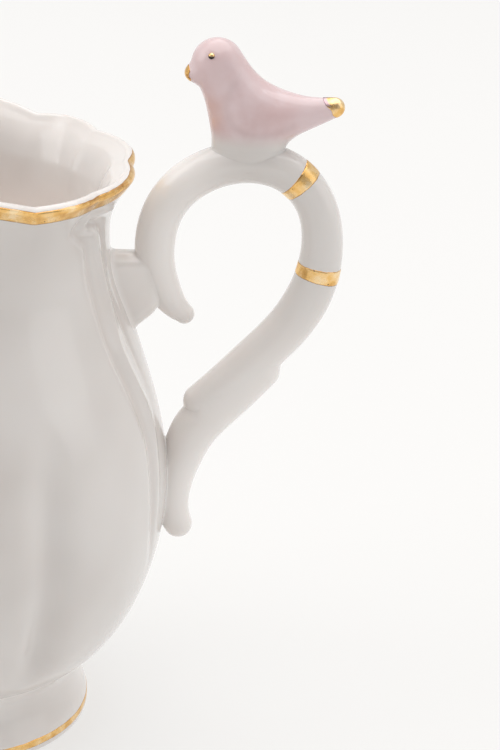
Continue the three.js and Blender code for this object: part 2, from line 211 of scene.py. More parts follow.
def near_path(across, height, path):
    """Distance from points to a path in a plane, its height there and their side of it, 1 or -1."""
    best = np.full(across.shape, np.inf)
    path_height = np.zeros(across.shape)
    side = np.ones(across.shape)
    for (x0, z0), (x1, z1) in zip(path[:-1], path[1:]):
        length = math.hypot(x1 - x0, z1 - z0)
        ux, uz = (x1 - x0) / length, (z1 - z0) / length
        t = np.clip((across - x0) * ux + (height - z0) * uz, 0, length)
        dx, dz = across - x0 - t * ux, height - z0 - t * uz
        gap = np.hypot(dx, dz)
        closer = gap < best
        best = np.where(closer, gap, best)
        path_height = np.where(closer, z0 + t * uz, path_height)
        side = np.where(closer, np.sign(ux * dz - uz * dx), side)
    return best, path_height, side


# ---- the pot: a turned profile, waved at the lip, fluted, beaded and pulled out into a spout ----

LIP_WALL = 2.0
# how the wall thickens under the lip, inside: distances from the lip, thicknesses
PLAIN_INSIDE = ((0, 1, 7, 24), (LIP_WALL, 2.1, 3.1, 2.6))
FLARED_INSIDE = ((0, 2.3, 8, 24), (LIP_WALL, 3.18, 3.18, 2.6))  # by the handle
FLARE_HALF_ANGLE = 30
LIP_ROUNDING = 0.85  # how far the lip's rounded top stands above its two edges
BASE_THICKNESS = 4.0
# the bowl's floor: radius, height above its middle
BOWL_FLOOR = [(16, 0.9), (8, 0.2), (0, 0)]
# painted light: distances down the inside over which it grows paler and glows, and over which it turns back
# deep down
INSIDE_PAINTED_LIGHT_FADE = ((3, 26), (30, 70))
# painted light on the lip itself, paler and glowing
LIP_PAINTED_LIGHT = 0.2  # of the lip itself, fading out just inside it
LIP_PAINTED_LIGHT_FADE = (2, 6)
# rows of points over the outside and down the inside: the distance back from the lip where each
# stretch of rows ends, and how many it has
OUTSIDE_ROWS = [(112, 16), (40, 120), (0, 110)]
INSIDE_ROWS = [(14, 44), (118, 76)]
LIP_ROWS = 16
FLOOR_ROWS = 16
# degrees between columns of points away from the beads and by them, and the angles from the handle
# over which the columns close up and open out again
COLUMN_STEPS = (1.25, 0.42)
CLOSE_COLUMNS = ((6, 12), (42, 50))
PROFILE_POINTS = 900
UNDERSIDE_POINTS = 200  # how many of them are left out where only the pot's side matters
POT_OUTSIDE = [
    (0, 6.3), (10, 7), (20, 10), (28.5, 15), (34, 22), (37.4, 30), (39.65, 40), (39.88, 50),
    (38.3, 60), (35.3, 70), (31.8, 80), (28.9, 88), (28.1, 95), (28.9, 101.5), (31.6, 106.2),
]
# low corners between the lip's lobes, in degrees from the handle, and how far the narrow and the
# wide lobes rise between them: the lip was shaped by hand, so its two sides differ a little
NEAR_CORNERS = np.array([0, 36, 60, 120, 144, 180])
FAR_CORNERS = np.array([0, 34.5, 61.3, 118.7, 145.5, 180])
NEAR_RISES = (0.2, 2.9)
FAR_RISES = (0.3, 2.5)
# and how far they bulge
NEAR_BULGES = (0.9, 0.7)
FAR_BULGES = (1.2, 0.7)
WIDE_LOBE = 45  # degrees: a wider lobe counts as wide
LIP_WAVE = (94, 106)  # heights over which the wave grows
FAR_LIFT = (0.35, 45, 25)  # extra rise on the far side: how much, about which angle, half-width
LOBE_FULLNESS = 0.8
CORNER_SOFTNESS = 0.2  # rounds the low corners between the lip's lobes
SPOUT_REACH = 12.8
SPOUT_RISE = 3.0
SPOUT_START = 78
SPOUT_HALF_ANGLE = 17
VALLEY_ANGLE = 61
VALLEY_DEPTH = 2.5
VALLEY_HALF_WIDTH = 5.5
VALLEY_FADE = ((15, 27), (48, 74))

# the bead that edges each side of the handle panel, from its hook under the lip's corner down to
# the belly, and the groove along each side of it: degrees from the handle, height
BEAD_PATH = [
    (22.0, 102.3), (29.3, 102.9), (33.1, 103.0), (36.3, 102.9), (38.0, 102.2), (37.6, 101.4),
    (35.5, 100.5), (32.3, 99.9), (29.0, 99.1), (26.8, 97.8), (24.8, 95.9), (21.9, 92.4),
    (20.0, 88.2), (20.6, 84.6), (22.4, 81.0), (22.9, 77.6), (21.2, 73.8), (18.6, 69.6),
    (16.2, 65.2), (16.4, 60.6), (17.8, 56.8), (18.6, 52.0), (19.3, 46.5), (19.5, 41.0),
]
OUTER_GROOVE_PATH = [
    (41.6, 102.6), (42.2, 101.9), (42.0, 101.0), (40.2, 99.9), (37.4, 98.9),
    (34.7, 98.2), (32.0, 96.6), (30.6, 93.4), (29.2, 89.6), (28.6, 86.0), (28.7, 82.6),
    (28.7, 79.0), (27.2, 75.2), (25.0, 71.2), (22.9, 67.2), (21.5, 63.2), (21.2, 59.5),
    (21.7, 55.4), (22.3, 48.5), (21.9, 42.6), (20.3, 37.8), (18.8, 34.2),
]
INNER_GROOVE_PATH = [
    (34.2, 101.5), (32.0, 101.4), (28.6, 100.7), (24.4, 99.3), (20.4, 97.4), (17.9, 95.2),
    (15.8, 91.6), (14.2, 87.6), (14.3, 84.2), (15.0, 80.8), (14.9, 77.4), (13.6, 73.4),
    (11.6, 69.0), (10.4, 65.0),
]
# for each path: how many points follow it, how far the surface rises there, the half-widths at the
# hook and below it, and the heights over which it fades in
RELIEFS = [
    (BEAD_PATH, 160, 0.52, (0.72, 1.35), (40, 60)),
    (OUTER_GROOVE_PATH, 160, -0.45, (0.85, 1.15), (31, 46)),
    (INNER_GROOVE_PATH, 110, -0.42, (0.6, 1.0), (62, 82)),
]
HOOK_HEIGHTS = (90, 98)  # over which a bead or groove slims towards its hook
RELIEF_ANGLES = (2, 58)  # the patch beside the handle that holds all of the relief
RELIEF_HEIGHTS = (26, 107.5)

profile = spline(POT_OUTSIDE, PROFILE_POINTS)
profile_slope = np.gradient(profile, axis=0)
profile_slope /= np.linalg.norm(profile_slope, axis=1)[:, None]
profile_run = run_along(profile)


def pot_radius(height):
    """Radius of the round pot at a height, before it is fluted and waved."""
    return np.interp(height, profile[:, 1], profile[:, 0])


def profile_at(from_lip, depth=0.0):
    """Points of the profile at distances back from the lip's edge, sunk into the wall by depth."""
    run = np.clip(profile_run[-1] - np.asarray(from_lip, dtype=float), 0, None)
    point = np.stack([np.interp(run, profile_run, profile[:, i]) for i in range(2)], axis=-1)
    slope = np.stack([np.interp(run, profile_run, profile_slope[:, i]) for i in range(2)], axis=-1)
    inwards = np.stack([-slope[..., 1], slope[..., 0]], axis=-1)
    return point + inwards * np.asarray(depth, dtype=float)[..., None]


def lobe_shape(degrees, corners, rises, bulges):
    """How far lobes between corners stand up, and out."""
    lobe = np.clip(np.searchsorted(corners, degrees, side="right") - 1, 0, len(corners) - 2)
    width = corners[lobe + 1] - corners[lobe]
    arch = np.sin(np.pi * np.clip((degrees - corners[lobe]) / width, 0, 1)) ** LOBE_FULLNESS
    swell = np.hypot(arch, CORNER_SOFTNESS) - CORNER_SOFTNESS
    swell /= math.hypot(1, CORNER_SOFTNESS) - CORNER_SOFTNESS
    wide = width > WIDE_LOBE
    up = np.where(wide, rises[1], rises[0]) * swell
    return up, np.where(wide, bulges[1], bulges[0]) * swell


def lip_wave(degrees, far):
    """How far the lip stands up, and out, at angles from the handle on its near or far side."""
    near_up, near_out = lobe_shape(degrees, NEAR_CORNERS, NEAR_RISES, NEAR_BULGES)
    far_up, far_out = lobe_shape(degrees, FAR_CORNERS, FAR_RISES, FAR_BULGES)
    lift, middle, half_width = FAR_LIFT
    far_up = far_up + lift * bump(degrees - middle, half_width)
    return np.where(far, far_up, near_up), np.where(far, far_out, near_out)


def side_path(path, count):
    """A path over the pot's side, unrolled: distances round it from the handle, and heights."""
    return spline([(math.radians(a) * float(pot_radius(z)), z) for a, z in path], count)


reliefs = [(side_path(path, count), *relief) for path, count, *relief in RELIEFS]


def relief_along(along, height, path, rise, half_widths, fade):
    """A soft ridge or groove along a path, fading in over its heights and slimmer round the hook."""
    distance, path_height, _ = near_path(along, height, path)
    hook_width, width = half_widths
    half_width = hook_width + (width - hook_width) * (1 - smooth_step(path_height, *HOOK_HEIGHTS))
    return rise * smooth_step(path_height, *fade) * bump(distance, half_width)


def bead_relief(degrees, height):
    """Height of the beads and their grooves above the plain side."""
    folded = np.minimum(degrees, 180 - degrees)
    near = between(folded, RELIEF_ANGLES) & between(height, RELIEF_HEIGHTS)
    along, near_height = np.radians(folded[near]) * pot_radius(height[near]), height[near]
    relief = np.zeros(degrees.shape)
    relief[near] = sum(relief_along(along, near_height, *parts) for parts in reliefs)
    return relief


def from_handle(angle):
    """Degrees round from the handle, the same on both sides."""
    return np.abs(np.degrees((angle + np.pi) % (2 * np.pi) - np.pi))


def shape_pot(radius, height, angle, detail=1.0):
    """Places turned points on the finished pot. detail is how much of the fine relief shows."""
    degrees = from_handle(angle)
    fluted = window(height, *VALLEY_FADE)
    outwards = np.zeros(np.broadcast(radius, angle).shape)
    for centre in (VALLEY_ANGLE, 180 - VALLEY_ANGLE):
        outwards = outwards - fluted * VALLEY_DEPTH * bump(degrees - centre, VALLEY_HALF_WIDTH)
    wave_up, wave_out = lip_wave(degrees, np.sin(angle) > 0)
    waved = smooth_step(height, *LIP_WAVE)
    pouring = bump(180 - degrees, SPOUT_HALF_ANGLE)
    pulled = smooth_step(height, SPOUT_START, LIP_WAVE[1] + 4) * pouring
    relief = detail * bead_relief(*np.broadcast_arrays(degrees, height))
    outwards = outwards + waved * wave_out + pulled * SPOUT_REACH + relief
    spread = np.where(radius > 1, radius + outwards, radius)
    up = height + waved * (wave_up + pouring * SPOUT_RISE)
    return round_axis(spread, up, angle), relief


def pot_angles():
    """Angles round the pot, closer together where the beads and the lip's corners are."""
    coarse, fine = COLUMN_STEPS
    quarter = [0.0]
    while quarter[-1] < 90:
        here = quarter[-1]
        quarter.append(here + coarse + (fine - coarse) * window(here, *CLOSE_COLUMNS))
    quarter = np.array(quarter) * 90 / quarter[-1]
    half = np.concatenate([quarter, 180 - quarter[-2::-1]])
    return np.radians(np.concatenate([half, -half[-2:0:-1]]))


def rounded_lip(turn, depth):
    """Points over the lip's rounded top: turned in radians from its outer edge, sunk by depth."""
    outer, inner = profile_at(0.0), profile_at(0.0, LIP_WALL)
    half = np.linalg.norm(outer - inner) / 2
    across, up = (outer - inner) / (2 * half), profile_slope[-1]
    cosine, sine = np.cos(turn)[..., None], np.sin(turn)[..., None]
    normal = across * LIP_ROUNDING * cosine + up * half * sine
    normal /= np.linalg.norm(normal, axis=-1)[..., None]
    top = (outer + inner) / 2 + across * half * cosine + up * LIP_ROUNDING * sine
    return top - normal * np.asarray(depth)[..., None]


def spaced(start, stretches):
    """Numbers from a start through stretches, each given by where it ends and how many it has."""
    numbers = [[start]]
    for end, count in stretches:
        numbers.append(np.linspace(start, end, count)[1:])
        start = end
    return np.concatenate(numbers)


def inside_painted_light(inside_run):
    """How much painted light, as paleness and glow, the lip's rows get, and the rows down the inside."""
    from_lip = LIP_PAINTED_LIGHT * (1 - smooth_step(inside_run, *LIP_PAINTED_LIGHT_FADE))
    inside = window(inside_run, *INSIDE_PAINTED_LIGHT_FADE) + from_lip
    return np.concatenate([np.full(LIP_ROWS, LIP_PAINTED_LIGHT), inside])


def make_pot(material):
    outside = profile_at(spaced(profile_run[-1], OUTSIDE_ROWS))
    inside_run = spaced(0, INSIDE_ROWS)[1:]
    plain = profile_at(inside_run, np.interp(inside_run, *PLAIN_INSIDE))
    flared = profile_at(inside_run, np.interp(inside_run, *FLARED_INSIDE))
    lip = rounded_lip(np.linspace(0, np.pi, LIP_ROWS + 1)[1:], np.zeros(LIP_ROWS))
    floor = POT_OUTSIDE[0][1] + BASE_THICKNESS
    floor_points = [(radius, floor + height) for radius, height in BOWL_FLOOR]
    bowl_floor = spline([plain[-1]] + floor_points, FLOOR_ROWS)[1:]
    rows = np.concatenate([outside, lip, plain, bowl_floor])
    lip_start = len(outside)
    inside_start = lip_start + LIP_ROWS
    floor_start = inside_start + len(plain)
    detail = np.zeros(len(rows))
    detail[:lip_start] = 1
    detail[lip_start:inside_start] = np.linspace(1, 0, LIP_ROWS)
    flare = np.zeros(rows.shape)
    flare[inside_start:floor_start] = flared - plain
    angle = pot_angles()[None, :]
    by_handle = bump(from_handle(angle), FLARE_HALF_ANGLE)
    radius, height = (rows[:, i:i + 1] + flare[:, i:i + 1] * by_handle for i in range(2))
    rings, relief = shape_pot(radius, height, angle, detail[:, None])
    points, faces = capped_solid(rings)
    # how far the surface is sunk by the beads' grooves: there the colour darkens, for glaze pooled in them
    # and for painted shade
    pool = np.concatenate([relief[1:-1].ravel(), [0, 0]])
    # painted light: how much paler the lip and the inside are made, and how much they glow
    inner = np.zeros(len(rows))
    inner[lip_start:floor_start] = inside_painted_light(inside_run)
    inner = np.concatenate([np.repeat(inner[1:-1], angle.size), [0, 0]])
    make_piece("glazed_pot", "jug_body", "porcelain", points, faces, material,
               pool=pool, pale=inner, glow=inner)


# ---- foot ----

FOOT_SIDE = [
    (26.42, 1.2), (26.42, 2.4), (26.15, 3.5), (25.45, 4.9), (24.7, 6.4), (24.2, 8.0), (24.05, 9.4),
    (24.35, 10.8),
]
FOOT_EDGE = [(21.9, 0.6), (22.4, 0.0), (24, 0.0), (25.6, 0.0), (26.15, 0.25), (26.38, 0.65)]
FOOT_INSIDE = [(22.4, 11.4), (21.2, 10.2), (20.7, 8.5), (21.0, 5), (21.9, 0.6)]
# where the foot's side runs up into the belly: radius, depth below the belly's surface
FOOT_FILLET = [(25.1, 0.62), (26.1, 0.26), (27.1, 0.05), (28.1, -0.4), (28.3, -1.2)]
FOOT_COLUMNS = 240
FOOT_ROWS = {"side": 90, "edge": 40, "inside": 40}
# painted light: the foot is made paler than the pot
FOOT_PAINTED_LIGHT = 0.5


def make_foot(material):
    belly = profile[:np.argmax(profile[:, 0])]
    fillet = [(r, np.interp(r, belly[:, 0], belly[:, 1]) - depth) for r, depth in FOOT_FILLET]
    side = spline(FOOT_SIDE + fillet, FOOT_ROWS["side"])
    edge = spline(FOOT_EDGE + [FOOT_SIDE[0]], FOOT_ROWS["edge"])
    edge[:, 1] = np.maximum(edge[:, 1], 0)
    inner = spline(FOOT_INSIDE, FOOT_ROWS["inside"])[:-1]
    rows = np.concatenate([edge[:-1], side, inner])
    angle = np.linspace(0, 2 * np.pi, FOOT_COLUMNS, endpoint=False)[None, :]
    points, faces = ring_solid(round_axis(rows[:, :1], rows[:, 1:], angle))
    make_piece("foot", "foot_ring", "porcelain", points, faces, material, pale=FOOT_PAINTED_LIGHT)


# ---- gilding painted round turned shapes ----

FILM = 0.045  # how far a gold film stands proud
FILM_ROOT = 0.25  # how far its hidden side is sunk
FILM_EDGE = 0.12  # the share of its width over which it thins out
UNSTEADY_WAVES = (3, 7, 11, 19, 31, 47, 83)  # how many of each kind go round a painted line
WAVE_WEAKENING = 0.35  # how much weaker each finer kind is


def wobble(angle, seed, size):
    """The unsteady edge of a line painted by hand."""
    chance = np.random.default_rng(seed)
    total = 0
    for i, count in enumerate(UNSTEADY_WAVES):
        start, strength = chance.uniform(0, 2 * np.pi), chance.uniform(0.3, 1)
        total = total + strength * np.sin(count * angle + start) / (1 + WAVE_WEAKENING * i)
    return size * total / 3


def make_film(name, node, top, bottom, steps, place, material):
    """A gold film between two painted edges. place(distance, depth) gives a row of its points."""
    across = np.linspace(0, 1, steps)
    edge = 1 - np.clip(np.minimum(across, 1 - across) / FILM_EDGE, 0, 1)
    runs = [top + (bottom - top) * t for t in across] + [bottom, top]
    depths = [*(-FILM * (1 - edge ** 2)), FILM_ROOT, FILM_ROOT]
    rings = np.array([place(run, depth) for run, depth in zip(runs, depths)])
    points, faces = ring_solid(rings)
    rim = np.repeat([*edge, 1, 1], rings.shape[1])
    make_piece(name, node, "gold", points, faces, material, rim=rim)


LIP_GILDING = (-0.85, 2.05)  # from over the rounded top to below the outer edge
LIP_GILDING_SPREAD = (0.9, 30, 13)  # how much further over it reaches by the handle: near, far
FOOT_GILDING = (1.3, 2.72)  # heights


def make_lip_gilding(material):
    angle = pot_angles()
    more, near_spread, far_spread = LIP_GILDING_SPREAD
    by_handle = bump(from_handle(angle), np.where(np.sin(angle) > 0, far_spread, near_spread))
    upper_edge = LIP_GILDING[0] - more * by_handle + wobble(angle, 3, 0.2)
    lower_edge = LIP_GILDING[1] + wobble(angle, 8, 0.14)

    def place(run, depth):
        sunk = np.full(len(angle), depth)
        over = rounded_lip(np.maximum(-run, 0) / LIP_ROUNDING, sunk)
        row = np.where(run[:, None] < 0, over, profile_at(np.maximum(run, 0), sunk))
        return shape_pot(row[:, 0], row[:, 1], angle)[0]

    make_film("gold_lip_line", "rim_gilding", upper_edge, lower_edge, 18, place, material)


def make_foot_gilding(material):
    side = spline(FOOT_SIDE, 200)
    angle = np.linspace(0, 2 * np.pi, 360, endpoint=False)
    low = FOOT_GILDING[0] + wobble(angle, 21, 0.12)
    high = FOOT_GILDING[1] + wobble(angle, 34, 0.14)

    def place(height, depth):
        radius = np.interp(height, side[:, 1], side[:, 0]) - depth
        return round_axis(radius, height, angle)

    make_film("gold_foot_line", "foot_gilding", high, low, 10, place, material)


# ---- handle scrolls: round sections along curves in the upright plane, as (x, height, radius) ----

UPPER_SCROLL = [
    (41.9, 79.3, 1.85), (40.4, 80.6, 2.3), (38.6, 83.0, 2.9), (36.7, 87.5, 3.4), (36.2, 93.6, 3.6),
    (38.2, 100.3, 3.65), (43.2, 105.4, 3.7), (51.8, 108.1, 3.7), (59.2, 106.4, 3.7),
    (64.2, 101.0, 3.6), (66.0, 93.0, 3.75), (64.55, 84.3, 4.05), (60.2, 76.6, 4.05),
    (54.6, 70.4, 4.0), (49.4, 65.1, 3.85), (45.7, 62.0, 3.5),
]
LOWER_SCROLL = [
    (56.4, 68.6, 3.4), (52.0, 64.0, 3.65), (47.6, 60.1, 4.15), (45.0, 57.1, 4.25), (42.9, 52.2, 3.85),
    (41.3, 45.6, 3.35), (41.4, 40.2, 3.0), (42.6, 37.2, 2.6),
]
UPPER_BAND = (61.0, 104.8)
LOWER_BAND = (65.7, 88.1)
BAND_WIDTH = 2.5
# painted light: the handle's pieces are made paler than the pot, where it shades them
HANDLE_PAINTED_LIGHT = 0.7
# where the arch loses its painted light, its paleness: away from the pot, as x, and upwards, as heights
PAINTED_LIGHT_BY_POT = (40, 54)
PAINTED_LIGHT_BELOW = (72, 90)
HANDLE_SIDES = 56
NOSE_ROWS = 13
LAST_NOSE = 0.9  # length of the lower end's nose over its radius

upper_curve = spline(UPPER_SCROLL, 240)
lower_curve = spline(LOWER_SCROLL, 110)


def curve_frame(curve):
    """Unit directions along a curve and across it, in its upright plane."""
    along = np.gradient(curve[:, :2], axis=0)
    along /= np.linalg.norm(along, axis=1)[:, None]
    return along, np.stack([-along[:, 1], along[:, 0]], axis=1)


def swept(centres, across, radii, sides):
    """Rings round centres: one row for each centre, in the plane of across and the y axis."""
    turn = np.linspace(0, 2 * np.pi, sides, endpoint=False)[None, :]
    out = np.cos(turn) * radii[:, None]
    x = centres[:, :1] + across[:, :1] * out
    z = centres[:, 1:2] + across[:, 1:2] * out
    return np.stack([x, np.sin(turn) * radii[:, None], z], axis=-1)


def make_upper_scroll(material):
    along, across = curve_frame(upper_curve)
    turn = np.linspace(0, np.pi / 2, NOSE_ROWS + 1)[:-1]
    first, last = upper_curve[0], upper_curve[-1]
    first_nose = first[:2] - along[0] * (first[2] * np.cos(turn))[:, None]
    last_nose = last[:2] + along[-1] * (last[2] * LAST_NOSE * np.cos(turn))[::-1, None]
    centres = np.concatenate([first_nose, upper_curve[:, :2], last_nose])
    radii = np.concatenate([first[2] * np.sin(turn), upper_curve[:, 2], last[2] * np.sin(turn)[::-1]])
    ways = [np.repeat(across[:1], NOSE_ROWS, 0), across, np.repeat(across[-1:], NOSE_ROWS, 0)]
    points, faces = capped_solid(swept(centres, np.concatenate(ways), radii, HANDLE_SIDES))
    # painted light: paler by the pot and low down
    by_pot = 1 - smooth_step(points[:, 0], *PAINTED_LIGHT_BY_POT)
    low = 1 - smooth_step(points[:, 2], *PAINTED_LIGHT_BELOW)
    make_piece("arch_scroll", "upper_scroll", "porcelain", points, faces, material,
               pale=HANDLE_PAINTED_LIGHT * np.maximum(by_pot, low))


def make_band(name, node, middle, seed, material):
    across = curve_frame(upper_curve)[1]
    run = run_along(upper_curve[:, :2])
    centre = run[np.argmin(np.linalg.norm(upper_curve[:, :2] - np.array(middle), axis=1))]
    turn = np.linspace(0, 2 * np.pi, 120, endpoint=False)
    start = centre - BAND_WIDTH / 2 + wobble(turn, seed, 0.1)
    end = centre + BAND_WIDTH / 2 + wobble(turn, seed + 1, 0.1)

    def place(distance, depth):
        x, z, radius = (np.interp(distance, run, upper_curve[:, i]) for i in range(3))
        wx, wz = (np.interp(distance, run, across[:, i]) for i in range(2))
        out = (radius - depth) * np.cos(turn)
        return np.stack([x + wx * out, (radius - depth) * np.sin(turn), z + wz * out], axis=-1)

    make_film(name, node, start, end, 12, place, material)


# ---- soft modelled pieces: the zero surface of a distance field, skinned with quads ----

HIDDEN = 0.05  # how far a neighbour is sunk where one piece runs smoothly into another
ROOT_DEPTH = 1.2  # how far a piece reaches into the pot's wall
SLOPE_REACH = 0.02  # over which a field's slope is measured
SKIN_EVENING = 0.6  # how far each round moves a skin's vertices towards their neighbours' middle
SKIN_ROUNDS = 5


def surface_net(field, low, high, step):
    """A quad skin of a field's zero surface: one vertex in each cell that the surface crosses."""
    axes = [np.arange(a, b + step, step) for a, b in zip(low, high)]
    grid = np.stack(np.meshgrid(*axes, indexing="ij"), axis=-1)
    inside = field(grid.reshape(-1, 3)).reshape(grid.shape[:3]) < 0
    nx, ny, nz = (size - 1 for size in inside.shape)
    count = sum(inside[i:nx + i, j:ny + j, k:nz + k].astype(int)
                for i in (0, 1) for j in (0, 1) for k in (0, 1))
    active = (count > 0) & (count < 8)
    number = np.full(active.shape, -1)
    number[active] = np.arange(active.sum())
    points = grid[:-1, :-1, :-1][active] + step / 2
    quads = []
    for axis in range(3):
        order = (axis, (axis + 1) % 3, (axis + 2) % 3)
        state = np.transpose(inside, order)[:, 1:-1, 1:-1]
        cells = np.transpose(number, order)
        i, j, k = np.nonzero(state[:-1] != state[1:])
        quad = np.stack([cells[i, j, k], cells[i, j + 1, k],
                         cells[i, j + 1, k + 1], cells[i, j, k + 1]], axis=1)
        away = ~state[:-1][i, j, k]
        quad[away] = quad[away][:, ::-1]
        quads.append(quad)
    faces = np.concatenate(quads)
    return settle(points, faces, field, step)


def settle(points, faces, field, step):
    """Evens out a skin's vertices and draws them on to the field's zero surface."""
    reach = SLOPE_REACH
    for round_number in range(SKIN_ROUNDS):
        if round_number:
            middles = points[faces].mean(axis=1)
            total = np.zeros_like(points)
            share = np.bincount(faces.ravel(), minlength=len(points))[:, None]
            for corner in range(4):
                np.add.at(total, faces[:, corner], middles)
            points = (1 - SKIN_EVENING) * points + SKIN_EVENING * total / share
        for _ in range(2):
            slope = np.stack([field(points + reach * unit) - field(points - reach * unit)
                              for unit in np.eye(3)], axis=1) / (2 * reach)
            length = np.maximum((slope ** 2).sum(axis=1), 0.25)
            shift = -field(points)[:, None] * slope / length[:, None]
            points = points + np.clip(shift, -step, step)
    return points, faces


def blend(a, b, width):
    """The nearer of two fields, run together over a width as slip and glaze fill a corner."""
    t = np.clip(0.5 + 0.5 * (b - a) / width, 0, 1)
    return b + (a - b) * t - width * t * (1 - t)


def tube_field(points, curve, flatten=1.0):
    """Distance to a tube of changing radius round a curve in the upright plane."""
    result = np.full(len(points), np.inf)
    x, y, z = points[:, 0], points[:, 1] / flatten, points[:, 2]
    for (x0, z0, r0), (x1, z1, r1) in zip(curve[:-1], curve[1:]):
        ux, uz = x1 - x0, z1 - z0
        t = np.clip(((x - x0) * ux + (z - z0) * uz) / (ux * ux + uz * uz), 0, 1)
        gap = np.sqrt((x - x0 - t * ux) ** 2 + y * y + (z - z0 - t * uz) ** 2)
        np.minimum(result, gap - r0 - t * (r1 - r0), out=result)
    return result


def pot_field(points):
    """Distance to the pot's side, near the handle."""
    radius = np.hypot(points[:, 0], points[:, 1])
    side = profile[UNDERSIDE_POINTS:]
    slope = np.interp(points[:, 2], side[:, 1], np.gradient(side[:, 0], side[:, 1]))
    return (radius - pot_radius(points[:, 2])) / np.sqrt(1 + slope ** 2)


def joined_field(points, piece, scroll, softness, fillet_reach):
    """A piece's field run into a scroll's and the pot's, no further out than its fillets reach."""
    by_scroll, by_pot = softness
    pot = pot_field(points) + HIDDEN
    joined = blend(blend(piece, scroll + HIDDEN, by_scroll), pot, by_pot)
    return np.maximum(np.maximum(joined, piece - fillet_reach), -ROOT_DEPTH - pot)


LUG_TOP = 90.9
LUG_HALF_THICKNESS = 3.1
LUG_ROUNDING = 2.4
LUG_END = 38.0
# the lug's lower side slopes up towards the scroll
LUG_LOWER_SIDE = ((31.0, 75.0), (37.2, 80.4))
# softness of a piece's joint with the scroll and with the pot, and how far its fillets reach
LUG_JOINT = ((0.4, 1.0), 3.6)
LOWER_SCROLL_JOINT = ((1.2, 0.45), 1.6)
# the box that a piece is skinned in, and the size of the skin's cells
LUG_SPACE = ((25, -7.5, 70), (41, 7.5, 96), 0.33)
LOWER_SCROLL_SPACE = ((35, -6.5, 32), (62, 6.5, 75), 0.36)


def lug_field(points):
    x, y, z = points.T
    (x0, z0), (x1, z1) = LUG_LOWER_SIDE
    length = math.hypot(x1 - x0, z1 - z0)
    below = ((x - x0) * (z1 - z0) - (z - z0) * (x1 - x0)) / length
    walls = np.stack([z - LUG_TOP, below, np.abs(y) - LUG_HALF_THICKNESS, x - LUG_END]) + LUG_ROUNDING
    outside = np.sqrt((np.maximum(walls, 0) ** 2).sum(axis=0))
    return outside + np.minimum(walls.max(axis=0), 0) - LUG_ROUNDING


def make_lug(material):
    coarse_scroll = upper_curve[:100:3]

    def field(points):
        return joined_field(points, lug_field(points), tube_field(points, coarse_scroll), *LUG_JOINT)

    points, faces = surface_net(field, *LUG_SPACE)
    make_piece("lug", "handle_lug", "porcelain", points, faces, material, pale=HANDLE_PAINTED_LIGHT)


def make_lower_scroll(material):
    coarse_lower = lower_curve[::2]
    coarse_upper = upper_curve[150::3]

    def field(points):
        scroll = tube_field(points, coarse_lower)
        return joined_field(points, scroll, tube_field(points, coarse_upper), *LOWER_SCROLL_JOINT)

    points, faces = surface_net(field, *LOWER_SCROLL_SPACE)
    make_piece("tail_scroll", "lower_scroll", "porcelain", points, faces, material,
               pale=HANDLE_PAINTED_LIGHT)


# ---- bird ----

BIRD_SPINE = [
    (45.75, 125.75, 4.56), (48.2, 121.7, 5.0), (51.2, 118.0, 5.8), (57.4, 116.9, 4.3),
    (62.4, 117.5, 2.75), (66.6, 118.5, 1.75),
]
BIRD_FLATTEN = 0.9
FACE_PLACE = (43.0, 0, 124.0)
FACE_SIZE = (2.8, 2.3, 1.95)
# the oval column that carries the bird: half-sizes at its waist, and how much they grow over each
# rise above it, for so many rises
BREAST_X = 51.85
BREAST_HALF_LENGTH = (6.35, 0.5)
BREAST_HALF_WIDTH = (3.5, 1.2)
BREAST_WAIST, BREAST_RISE, BREAST_GROWTH = 109, 8, 1.2
BREAST_BOTTOM, BREAST_TOP = 106, 118.5
BREAST_ROUNDING = 5.0  # of its top
FACE_SOFTNESS = 1.0  # how softly face and breast run into the body
BREAST_SOFTNESS = 2.2
PERCH_SEAM = 111.6
PERCH_SWELL = 0.04  # how far the perch stands out past the bird's foot
SEAM_DRAW = (0.12, 1.2)  # how far it draws in at the seam, and over what height
PERCH_BOTTOM = 107
PERCH_SOFTNESS = 0.25
PERCH_FILLET_REACH = 3.2
PERCH_SPACE = ((41, -6, 106), (64, 6, 113), 0.3)
BIRD_SINK = 1.6  # how far the bird reaches down inside the perch
BIRD_SPACE = ((40, -6.5, 109), (70, 6.5, 131.5), 0.27)
# the front edge of the folded wing, from the shoulder down to the tail: x, height
WING_EDGE = [(48.6, 123.4), (47.3, 120.2), (47.9, 117.0), (50.0, 114.9), (54.0, 114.2), (59.0, 115.6)]
WING_GROOVE = (0.03, 0.55)  # depth, half-width
WING_LIFT = (0.05, (0, 1.2), (2.5, 5.5))  # height, and where it rises and sinks back from the edge
WING_X = (52, 7.5)  # the middle and half-length of the folded wing
WING_SIDE = (1.2, 3.2)  # how far out from the middle plane it fades in

# where the enamel's colour changes, as x or heights, and how strongly
PINK_FADE = (111.2, 115.0)
WARM_FRONT, WARM_HEIGHTS, WARMTH = (44.6, 48.2), ((112.5, 115), (118.5, 122)), 0.8
# painted light: paler enamel over the top of the head and on the tail, where light falls on them
PAINTED_LIGHT_HEAD, PAINTED_LIGHT_ABOVE, HEAD_PAINTED_LIGHT = (48, 53), (119, 124), 0.5
PAINTED_LIGHT_TAIL, TAIL_PAINTED_LIGHT = (56, 63), 0.9

bird_spine = spline(BIRD_SPINE, 60)
wing_edge = spline(WING_EDGE, 40)


def breast_field(points):
    """An upright oval column that carries the bird, widening towards its breast."""
    x, y, z = points.T
    up = np.clip((z - BREAST_WAIST) / BREAST_RISE, 0, BREAST_GROWTH)
    half_length, half_width = (low + more * up for low, more in (BREAST_HALF_LENGTH, BREAST_HALF_WIDTH))
    reach = np.sqrt(((x - BREAST_X) / half_length) ** 2 + (y / half_width) ** 2)
    side = (reach - 1) * half_width
    rounded_top = -blend(-side, BREAST_TOP - z, BREAST_ROUNDING)
    return np.maximum(rounded_top, BREAST_BOTTOM - z)


